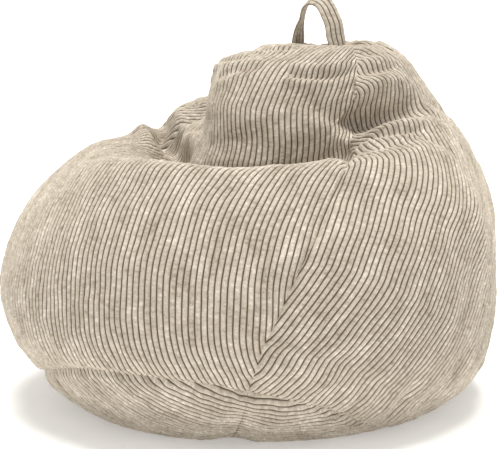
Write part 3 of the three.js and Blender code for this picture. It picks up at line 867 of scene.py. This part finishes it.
def plan_to_ring(place: np.ndarray) -> tuple[np.ndarray, np.ndarray]:
    """Direction and ring of the points of the underside that lie at places in plan."""
    low, high = np.zeros(place.shape[:-1]), np.full(place.shape[:-1], 4.0)
    for _ in range(22):
        ring = (low + high) / 2
        j = np.clip(np.floor(ring).astype(int), 0, TOP_RING - 1)
        back = MM * sum(
            w * LEAN[np.abs(j - 1 + n)] for n, w in enumerate(taps(ring - j))
        )
        degrees = np.degrees(np.arctan2(place[..., 0], back - place[..., 1]))
        point = skin(degrees, ring)
        reach = np.hypot(point[..., 0], point[..., 1] - back)
        inside = reach < np.hypot(place[..., 0], place[..., 1] - back)
        low, high = np.where(inside, ring, low), np.where(inside, high, ring)
    return degrees, ring


def skin_plan(
    start: np.ndarray, along: np.ndarray, across: np.ndarray, s: np.ndarray, q: np.ndarray
) -> np.ndarray:
    """Points of the plain underside from their places along and across the middle seam."""
    return skin(*plan_to_ring(start + s[..., None] * along + q[..., None] * across))


# ---- finishes --------------------------------------------------------------------------------------


def srgb(code: str) -> tuple[float, float, float, float]:
    """Linear colour of an sRGB hex code."""
    values = [int(code[i:i + 2], 16) / 255 for i in (0, 2, 4)]
    linear = [v / 12.92 if v <= 0.04045 else ((v + 0.055) / 1.055) ** 2.4 for v in values]
    return (linear[0], linear[1], linear[2], 1.0)


class Shader:
    """A node material under construction."""

    def __init__(self, name: str) -> None:
        """Starts an empty material.

        Args:
            name: Name of the material.
        """
        self.material = bpy.data.materials.new(name)
        self.material.use_nodes = True
        self.tree = self.material.node_tree
        self.tree.nodes.clear()
        self.out = self.tree.nodes.new("ShaderNodeOutputMaterial")

    def add(
        self, kind: str, links: dict[str | int, object] | None = None, **settings: object
    ) -> bpy.types.Node:
        """Adds a node.

        Args:
            kind: Type of the node, without its common start.
            links: For each input, a value or the output that feeds it.
            **settings: Properties of the node.

        Returns:
            The node.
        """
        node = self.tree.nodes.new("ShaderNode" + kind)
        for key, value in settings.items():
            setattr(node, key, value)
        for key, value in (links or {}).items():
            if isinstance(value, bpy.types.NodeSocket):
                self.tree.links.new(value, node.inputs[key])
            else:
                node.inputs[key].default_value = value
        return node

    def math(self, operation: str, a: object, b: object = 0.0, clamp: bool = False) -> bpy.types.NodeSocket:
        """Adds a sum, product or other operation on two numbers."""
        return self.add("Math", {0: a, 1: b}, operation=operation, use_clamp=clamp).outputs[0]

    def ramp(
        self,
        value: object,
        low: float,
        high: float,
        to_low: float = 0.0,
        to_high: float = 1.0,
    ) -> bpy.types.NodeSocket:
        """Maps a number smoothly from one range to another."""
        links = {"Value": value, "From Min": low, "From Max": high, "To Min": to_low, "To Max": to_high}
        return self.add("MapRange", links, interpolation_type="SMOOTHSTEP").outputs["Result"]

    def mix(self, factor: object, a: object, b: object, blend: str = "MIX") -> bpy.types.NodeSocket:
        """Mixes two colours."""
        node = self.add("Mix", None, data_type="RGBA", blend_type=blend)
        for index, value in ((0, factor), (6, a), (7, b)):
            if isinstance(value, bpy.types.NodeSocket):
                self.tree.links.new(value, node.inputs[index])
            else:
                node.inputs[index].default_value = value
        return node.outputs[2]

    def noise(
        self, vector: object, scale: float, detail: float = 2.0, roughness: float = 0.5
    ) -> bpy.types.NodeSocket:
        """Adds a soft irregular pattern and gives its value."""
        links = {"Scale": scale, "Detail": detail, "Roughness": roughness}
        if vector is not None:
            links["Vector"] = vector
        return self.add("TexNoise", links).outputs["Fac"]

    def finish(self, links: dict[str | int, object]) -> bpy.types.Material:
        """Adds the surface shader and closes the material."""
        shader = self.add("BsdfPrincipled", links)
        self.tree.links.new(shader.outputs[0], self.out.inputs[0])
        return self.material


@dataclass(frozen=True)
class CordFinish:
    """Jumbo corduroy: cut cotton pile in rounded wales on a plain backing cloth, with painted shade down in
    the grooves.

    Attributes:
        name: Name of the material.
        tip_and_sheen: Colour of brushed pile, partly its own lighter tone and partly painted sheen.
        pile: Usual colour of the pile.
        root: Colour of pile that leans away.
        groove_shade: Colour of the painted shade down in the grooves between the wales.
        pitch: Distance between two wales.
    """

    name: str = "stone corduroy"
    # lightest pile tone, also painted sheen
    tip_and_sheen: str = "e8dfd1"
    pile: str = "c2b8a9"
    root: str = "9c907f"
    # painted shade for the grooves between the wales
    groove_shade: str = "5c5143"
    pitch: float = 0.0108

    def material(self) -> bpy.types.Material:
        """Makes the node material."""
        s = Shader(self.name)
        cut = s.add("UVMap", None, uv_map="cut").outputs[0]
        place = s.add("TexCoord").outputs["Object"]
        x, y, _ = s.add("SeparateXYZ", {0: cut}).outputs
        turns = s.math("MULTIPLY", x, 1 / self.pitch)
        off_crest = s.math("ABSOLUTE", s.math("SUBTRACT", s.math("FRACT", turns), 0.5))
        wale = s.math("FLOOR", turns)
        # tufts: each wale breaks into short clumps along its length
        clump = s.add("CombineXYZ", {
            0: s.math("MULTIPLY", wale, 3.7),
            1: s.math("MULTIPLY", y, 150.0),
            2: s.math("MULTIPLY", x, 60.0),
        })
        tufts = s.noise(clump.outputs[0], 1.0, 3.0, 0.62)
        speckle = s.noise(place, 420.0, 2.0, 0.6)
        # patches where the pile was brushed the other way
        patch = s.add("CombineXYZ", {
            0: s.math("MULTIPLY", x, 26.0),
            1: s.math("MULTIPLY", y, 13.0),
            2: 0.0,
        })
        brushed = s.noise(patch.outputs[0], 1.0, 3.0, 0.6)
        tone = s.math("ADD", s.math("MULTIPLY", tufts, 0.62), s.math("MULTIPLY", speckle, 0.38))
        tone = s.math("ADD", tone, s.math("MULTIPLY", s.math("SUBTRACT", brushed, 0.5), 0.55))
        low = s.mix(s.ramp(tone, 0.28, 0.52), srgb(self.root), srgb(self.pile))
        # painted sheen: the lightest, randomly placed pile tone is set lighter to stand in for the sheen
        pile = s.mix(s.ramp(tone, 0.5, 0.74), low, srgb(self.tip_and_sheen))
        # painted shade: the colour darkens from the crest of each wale into the groove
        groove = s.ramp(off_crest, 0.30, 0.47)
        colour = s.mix(groove, pile, srgb(self.groove_shade))
        fibre = s.noise(place, 900.0, 2.0, 0.7)
        height = s.math("ADD", s.math("MULTIPLY", fibre, 0.35), s.math("MULTIPLY", tufts, 0.9))
        bump = s.add("Bump", {"Height": height, "Strength": 0.55, "Distance": 0.0012})
        return s.finish({
            "Base Color": colour, "Roughness": 0.93, "Specular IOR Level": 0.15,
            "Sheen Weight": 0.10, "Sheen Roughness": 0.45, "Sheen Tint": srgb("f4ead9"),
            "Normal": bump.outputs[0],
        })


@dataclass(frozen=True)
class WovenFinish:
    """Plain woven polyester: fine threads over and under, smooth and slightly glossy.

    Attributes:
        name: Name of the material.
        thread: Colour of the threads.
        shade: Colour between them: painted shade where the weave dips, also the dark end of the random
            clouding.
        count: Threads in a metre.
    """

    name: str
    thread: str
    shade: str
    count: float = 1400.0

    def material(self) -> bpy.types.Material:
        """Makes the node material."""
        s = Shader(self.name)
        place = s.add("TexCoord").outputs["Object"]
        x, y, z = s.add("SeparateXYZ", {0: place}).outputs
        turn = self.count * math.pi
        warp = s.math("SINE", s.math("MULTIPLY", s.math("ADD", x, z), turn))
        weft = s.math("SINE", s.math("MULTIPLY", s.math("SUBTRACT", y, z), turn))
        weave = s.math("MULTIPLY", warp, weft)
        cloudy = s.noise(place, 30.0, 3.0)
        tone = s.math("ADD", s.math("MULTIPLY", weave, 0.25), cloudy)
        # painted shade: the colour darkens between the threads where the weave dips; the cloudy part is
        # random tone
        colour = s.mix(s.ramp(tone, 0.15, 0.85), srgb(self.shade), srgb(self.thread))
        bump = s.add("Bump", {"Height": weave, "Strength": 0.3, "Distance": 0.0003})
        return s.finish({
            "Base Color": colour, "Roughness": 0.72, "Specular IOR Level": 0.3,
            "Sheen Weight": 0.1, "Normal": bump.outputs[0],
        })


@dataclass(frozen=True)
class BeadFinish:
    """Expanded polystyrene beads, 3 to 5 mm: matt white cells pressed together.

    Attributes:
        name: Name of the material.
    """

    name: str = "polystyrene beads"

    def material(self) -> bpy.types.Material:
        """Makes the node material."""
        s = Shader(self.name)
        place = s.add("TexCoord").outputs["Object"]
        cells = s.add("TexVoronoi", {"Vector": place, "Scale": 240.0}).outputs["Distance"]
        # painted shade: each bead cell darkens towards its edges, in the gaps between the beads
        colour = s.mix(s.ramp(cells, 0.3, 0.75), srgb("f6f6f2"), srgb("b9b9b3"))
        bump = s.add("Bump", {"Height": cells, "Strength": 0.9, "Distance": 0.002}, invert=True)
        return s.finish({"Base Color": colour, "Roughness": 0.6, "Normal": bump.outputs[0]})


@dataclass(frozen=True)
class MoldedFinish:
    """Small hard parts: nylon coil or die-cast zinc with a satin coat.

    Attributes:
        name: Name of the material.
        colour: Main colour.
        metallic: 1 for metal, 0 for nylon.
        roughness: Middle value of the roughness.
        teeth: Distance between two turns of a coil, or 0.
        along: Direction in which the turns follow each other.
    """

    name: str
    colour: str
    metallic: float
    roughness: float
    teeth: float = 0.0
    along: tuple[float, float, float] = (1.0, 0.0, 0.0)

    def material(self) -> bpy.types.Material:
        """Makes the node material."""
        s = Shader(self.name)
        place = s.add("TexCoord").outputs["Object"]
        rub = s.noise(place, 600.0, 3.0)
        height, bright = s.math("MULTIPLY", rub, 0.3), rub
        if self.teeth:
            run = s.add("VectorMath", {0: place, 1: self.along}, operation="DOT_PRODUCT").outputs["Value"]
            turns = s.math("SINE", s.math("MULTIPLY", run, 2 * math.pi / self.teeth))
            height = s.math("ADD", height, turns)
            # painted shade: on a coil the colour also darkens between its turns; the rest of the change is
            # random rub
            bright = s.math("ADD", s.math("MULTIPLY", turns, 0.3), rub)
        dark = tuple(0.6 * c for c in srgb(self.colour)[:3]) + (1.0,)
        colour = s.mix(s.ramp(bright, 0.1, 0.8), dark, srgb(self.colour))
        bump = s.add("Bump", {"Height": height, "Strength": 0.4, "Distance": 0.0003})
        return s.finish({
            "Base Color": colour, "Metallic": self.metallic,
            "Roughness": s.ramp(rub, 0.2, 0.8, self.roughness - 0.06, self.roughness + 0.08),
            "Normal": bump.outputs[0],
        })


def dress(piece: bpy.types.Object, material: bpy.types.Material) -> None:
    """Gives a piece one material."""
    piece.data.materials.clear()
    piece.data.materials.append(material)


# ---- sub-assemblies ----------------------------------------------------------------------------------


@dataclass
class Cover:
    """The corduroy cover: four gores and two base halves.

    Attributes:
        surface: The outside of the bag.
        finish: The corduroy.
    """

    surface: Surface
    finish: bpy.types.Material

    def build(self) -> list[bpy.types.Object]:
        """Makes the six panels, each in the place of its node."""
        made = []
        panels: list[tuple[GorePanel | BasePanel, str]] = [
            (GorePanel(gore, seed=20 + 3 * k, grain=GRAIN[gore.name]), gore.name)
            for k, gore in enumerate(GORES)
        ]
        panels += [
            (BasePanel("base_half_right", 1), "base_half_right"),
            (BasePanel("base_half_left", -1, seed=70), "base_half_left"),
        ]
        for panel, node in panels:
            piece = panel.build(self.surface)
            dress(piece, self.finish)
            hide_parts(node)
            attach(piece, Body.BAG.value)
            LOG.info("%s: %d faces, cut %.3f by %.3f m", piece.name, len(piece.data.polygons), *panel.flat)
            made.append(piece)
        return made


@dataclass
class InnerBag:
    """A closed bag inside the cover, at a depth under its surface.

    Attributes:
        name: Name of the piece.
        node: CAD node that it stands for.
        slot: Material slot that it stands for; not used.
        depth: How far it lies inside the cover.
        raised: Height of its base over the middle seam, where the zips are.
        fill: How tightly it is filled; not used.
        grain: Height of the bumps that the beads make.
        columns: Columns of points on each gore.
        rows: Rows of points up each gore.
        base_rows: Rows of points from the base seam to the middle of the base.
    """

    name: str
    node: str
    slot: Slot
    depth: float
    raised: float
    fill: float
    grain: float
    columns: int = 20
    rows: int = 90
    base_rows: int = 14

    def build(self, surface: Surface, finish: bpy.types.Material) -> bpy.types.Object:
        """Makes the bag.

        Args:
            surface: The outside of the cover.
            finish: Its material.

        Returns:
            The finished piece.
        """
        rises = np.linspace(0, 1, self.rows)
        shares = np.arange(self.columns) / self.columns
        walls, normals, seams = [], [], []
        for gore in GORES:
            place, normal = surface.on_gore(gore, shares[:, None], rises[None, :])
            walls.append(place)
            normals.append(normal)
            seams.append(np.minimum(shares, 1 - shares)[:, None] * np.ones((1, self.rows)))
        wall, normal = np.concatenate(walls), np.concatenate(normals)
        away = np.minimum(np.concatenate(seams) * 0.5, rises[None, :])
        drawn = 0.010 * np.exp(-((away / 0.02) ** 2))
        wall = wall - normal * (self.depth + drawn + self.grain * waves(wall, 0.012, 8))[..., None]
        wall[:, -1] = wall[:, -1].mean(0)
        rim = wall[:, 0].copy()
        front, rear = wall[0, 0] * [1, 1, 0], wall[2 * self.columns, 0] * [1, 1, 0]
        along = (front - rear) / np.linalg.norm(front - rear)
        across = np.array([-along[1], along[0], 0.0])
        total = len(wall)
        steps = np.arange(total)
        mirror = np.where(steps <= 2 * self.columns, steps, total - steps)
        station = 0.5 * np.linalg.norm(front - rear) * (1 + np.cos(math.pi * mirror / (2 * self.columns)))
        seam = rear + station[:, None] * along
        layers = []
        for k in range(1, self.base_rows + 1):
            share = k / self.base_rows
            place = rim + (seam - rim) * share
            low = skin(*plan_to_ring(place))[:, 2]
            q = np.abs((place - rear) @ across)
            lifted = self.raised * np.exp(-((q / 0.045) ** 4))
            lifted = lifted * smoothstep(np.minimum(station, station.max() - station), 0.0, 0.06)
            ease = smoothstep(np.array(share), 0.0, 0.25)
            height = low + self.depth + lifted
            place[:, 2] = rim[:, 2] * (1 - ease) + height * ease
            layers.append(place)
        grid = np.concatenate([np.stack(layers[::-1], 1), wall], 1)
        count = grid.shape[1]
        index = np.arange(total * count).reshape(total, count)
        after = np.roll(index, -1, axis=0)
        faces = np.stack([index[:, :-1], after[:, :-1], after[:, 1:], index[:, 1:]], -1).reshape(-1, 4)
        cut = np.stack([np.repeat(steps * 0.03, count), np.tile(np.arange(count) * 0.012, total)], -1)
        piece = mesh_object(self.name, grid.reshape(-1, 3), faces, cut, 1e-5)
        dress(piece, finish)
        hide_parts(self.node)
        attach(piece, Body.BAG.value)
        LOG.info("%s: %d faces", piece.name, len(piece.data.polygons))
        return piece


@dataclass
class Handle:
    """The strap loop on the top of the bag, ribbed along its length.

    Attributes:
        back: Place of the loop along Y.
        side: Place of the middle of the loop along X.
        width: Width of the strap.
        thick: Its thickness at the middle of a wale.
        line: Middle line from the left end to the right one: pairs of [X, Z].
        twist: Turn of the strap about its middle line, in pairs of share of the length and radians.
        flex: Heights between which the strap would bend when the handle turns; not used.
        steps: How many sections it has.
        seed: Choice of its ripples.
    """

    back: float
    side: float
    width: float = 0.042
    thick: float = 0.0065
    line: tuple[tuple[float, float], ...] = (
        (-0.045, 0.606), (-0.044, 0.630), (-0.042, 0.652), (-0.038, 0.672), (-0.031, 0.691),
        (-0.021, 0.705), (-0.007, 0.7125), (0.009, 0.7085), (0.021, 0.696), (0.030, 0.679),
        (0.037, 0.660), (0.043, 0.638), (0.046, 0.612),
    )
    twist: tuple[tuple[float, float], ...] = (
        (0.0, 0.0), (0.14, 0.1), (0.3, 0.45), (0.45, 0.35), (0.65, 0.3), (0.85, 0.35), (1.0, 0.15),
    )
    flex: tuple[float, float] = (0.642, 0.684)
    steps: int = 120
    seed: int = 90

    def middle(self) -> tuple[np.ndarray, np.ndarray]:
        """Middle line of the strap and its outward direction."""
        nodes = np.array(self.line)
        t = np.linspace(0, len(nodes) - 1, self.steps)
        j = np.clip(np.floor(t).astype(int), 0, len(nodes) - 2)
        line = np.zeros((self.steps, 2))
        for n, w in enumerate(taps(t - j)):
            line += w[:, None] * nodes[np.clip(j - 1 + n, 0, len(nodes) - 1)]
        line[:, 0] += self.side
        run = np.gradient(line, axis=0)
        run /= np.linalg.norm(run, axis=1, keepdims=True)
        return line, np.stack([-run[:, 1], run[:, 0]], 1)

    def build(self, finish: bpy.types.Material) -> bpy.types.Object:
        """Makes the strap, from one sewn end to the other."""
        line, outward = self.middle()
        half = self.width / 2
        bulge = Corduroy(height=0.0016)
        face = np.array([v for v in bulge.columns(-half, half) if abs(v) <= half - 0.0008])
        face = np.concatenate([[-half], face, [half]])
        edge = np.clip((half - np.abs(face)) / 0.004, 0, 1)
        rounded = 0.5 * self.thick * np.sqrt(1 - (1 - edge) ** 2)
        crest = np.abs(np.mod(face / CLOTH.pitch, 1.0) * 2 - 1)
        top = rounded - 0.0013 * (1 - (1 - crest ** 2.6)) * np.minimum(edge * 2, 1)
        upper, lower = np.stack([face, top], 1), np.stack([face, -top], 1)
        section = np.concatenate([upper, lower[::-1][1:-1]])
        count = len(section)
        length = np.concatenate([[0], np.cumsum(np.linalg.norm(np.diff(line, axis=0), axis=1))])
        w, h = section[:, 0], section[:, 1]
        points = np.zeros((self.steps, count, 3))
        wobble = 0.0012 * waves(np.stack([length, length * 0], 1), 0.05, self.seed)
        twist = np.interp(length / length[-1], *np.array(self.twist).T)
        turn_c, turn_s = np.cos(twist)[:, None], np.sin(twist)[:, None]
        flat_w = w[None, :] * turn_c - h[None, :] * turn_s
        flat_h = w[None, :] * turn_s + h[None, :] * turn_c
        points[..., 0] = line[:, [0]] + outward[:, [0]] * (flat_h + wobble[:, None])
        points[..., 1] = self.back + flat_w
        points[..., 2] = line[:, [1]] + outward[:, [1]] * (flat_h + wobble[:, None] * 0.4)
        index = np.arange(self.steps * count).reshape(self.steps, count)
        after = np.roll(index, -1, axis=1)
        faces = np.stack([index[:-1], after[:-1], after[1:], index[1:]], -1).reshape(-1, 4)
        shape = (self.steps, count)
        cut = np.stack(
            [np.broadcast_to(w[None, :], shape), np.broadcast_to(length[:, None], shape)], -1
        )
        piece = mesh_object("handle_strap", points.reshape(-1, 3), faces, cut.reshape(-1, 2))
        work = bmesh.new()
        work.from_mesh(piece.data)
        bmesh.ops.holes_fill(work, edges=[e for e in work.edges if e.is_boundary])
        bmesh.ops.recalc_face_normals(work, faces=work.faces)
        work.to_mesh(piece.data)
        work.free()
        dress(piece, finish)
        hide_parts("handle_loop", "handle_foot_left", "handle_foot_right", "handle_patch")
        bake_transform(piece)
        LOG.info("%s: %d faces", piece.name, len(piece.data.polygons))
        return piece


@dataclass
class Studio:
    """Plain pale floor, soft light and the camera.

    Attributes:
        azimuth: Where the camera stands, in degrees from the front towards +X.
        elevation: How high it stands, in degrees.
        distance: How far it stands from the point that it looks at.
        aim: The point that it looks at.
        lens: Focal length in millimetres.
    """

    azimuth: float = 36.0
    elevation: float = 12.0
    distance: float = 4.2
    aim: tuple[float, float, float] = (0.010, 0.0, 0.320)
    lens: float = 167.0

    def camera(self) -> None:
        """Makes the camera."""
        data = bpy.data.cameras.new("camera")
        data.lens = self.lens
        data.sensor_width = 36.0
        camera = bpy.data.objects.new("camera", data)
        bpy.context.scene.collection.objects.link(camera)
        a, e = math.radians(self.azimuth), math.radians(self.elevation)
        away = Vector((math.sin(a) * math.cos(e), -math.cos(a) * math.cos(e), math.sin(e)))
        camera.location = Vector(self.aim) + away * self.distance
        camera.rotation_euler = (-away).to_track_quat("-Z", "Y").to_euler()
        bpy.context.scene.camera = camera

    def sun(self, name: str, place: Sequence[float], power: float, spread: float, colour: str) -> None:
        """Makes a far soft lamp that shines from a direction towards the bag."""
        data = bpy.data.lights.new(name, "SUN")
        data.angle = math.radians(spread)
        data.energy = power
        data.color = srgb(colour)[:3]
        lamp = bpy.data.objects.new(name, data)
        bpy.context.scene.collection.objects.link(lamp)
        lamp.location = place
        lamp.rotation_euler = (-Vector(place)).to_track_quat("-Z", "Y").to_euler()

    def light(self) -> None:
        """Makes the surroundings and the key lamp."""
        scene = bpy.context.scene
        scene.view_settings.view_transform = "Standard"
        world = bpy.data.worlds.new("studio")
        world.use_nodes = True
        sky = world.node_tree.nodes["Background"]
        sky.inputs[0].default_value = (1.0, 1.0, 1.0, 1.0)
        sky.inputs[1].default_value = 0.54
        scene.world = world
        self.sun("key", (0.0, 0.08, 2.4), 3.15, 28.0, "fffcf7")

    def floor(self) -> None:
        """Makes the floor."""
        mesh = bpy.data.meshes.new("floor")
        work = bmesh.new()
        bmesh.ops.create_grid(work, x_segments=1, y_segments=1, size=30.0)
        work.to_mesh(mesh)
        work.free()
        floor = bpy.data.objects.new("floor", mesh)
        bpy.context.scene.collection.objects.link(floor)
        s = Shader("studio floor")
        place = s.add("TexCoord").outputs["Object"]
        tone = s.mix(s.noise(place, 3.0, 2.0), srgb("fbfbfa"), srgb("ffffff"))
        dress(floor, s.finish({
            "Base Color": tone, "Roughness": 0.9, "Specular IOR Level": 0.1,
            "Emission Color": (1.0, 1.0, 1.0, 1.0), "Emission Strength": 0.27,
        }))


def dress_zips(along: tuple[float, float, float]) -> None:
    """Gives the zips, which keep their CAD shapes, their finishes.

    Args:
        along: Direction in which the zips run.
    """
    tape = WovenFinish("zip tape", "b3a994", "8e846f", 2600.0).material()
    liner_tape = WovenFinish("liner zip tape", "e4e0d8", "c2beb4", 2600.0).material()
    coil = MoldedFinish("nylon coil", "a89c86", 0.0, 0.4, 0.0012, along).material()
    liner_coil = MoldedFinish("white nylon coil", "dad6cc", 0.0, 0.4, 0.0009, along).material()
    metal = MoldedFinish("satin zinc", "8f8d86", 1.0, 0.34).material()
    for prefix, cloth, nylon in (("cover_zip", tape, coil), ("liner_zip", liner_tape, liner_coil)):
        for hand in ("left", "right"):
            dress(bpy.data.objects[f"{prefix}_tape_{hand}"], cloth)
            dress(bpy.data.objects[f"{prefix}_coil_{hand}"], nylon)
        for part in ("top_stop", "bottom_stop", "slider"):
            dress(bpy.data.objects[f"{prefix}_{part}"], metal)
    dress(bpy.data.objects["cover_zip_pull"], metal)


def main() -> None:
    """Builds the bag, its stage and the camera."""
    logging.basicConfig(level=logging.INFO, format="%(name)s %(message)s")
    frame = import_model()
    studio = Studio()
    studio.camera()
    studio.light()
    studio.floor()
    surface = Surface(drift=Billow().settle(Surface()))
    cord = CordFinish().material()
    lining = WovenFinish("polyester lining", "e4e0d8", "bdb8ad").material()
    InnerBag("liner_bag_cloth", "liner_bag", Slot.LINING, 0.0062, 0.0148, 0.85, 0.0).build(surface, lining)
    beads = BeadFinish().material()
    InnerBag("bead_fill_mass", "bead_fill", Slot.BEADS, 0.0105, 0.0148, 0.9, 0.0008).build(
        surface, beads
    )
    Cover(surface, cord).build()
    low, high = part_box("handle_loop")
    Handle(back=(low[1] + high[1]) / 2, side=(low[0] + high[0]) / 2).build(cord)
    slide = next(j for j in frame["record"]["behaviour"]["joints"] if j["name"] == "cover_zip_slide")
    dress_zips(tuple(slide["axis"]))


if __name__ == "__main__":
    main()
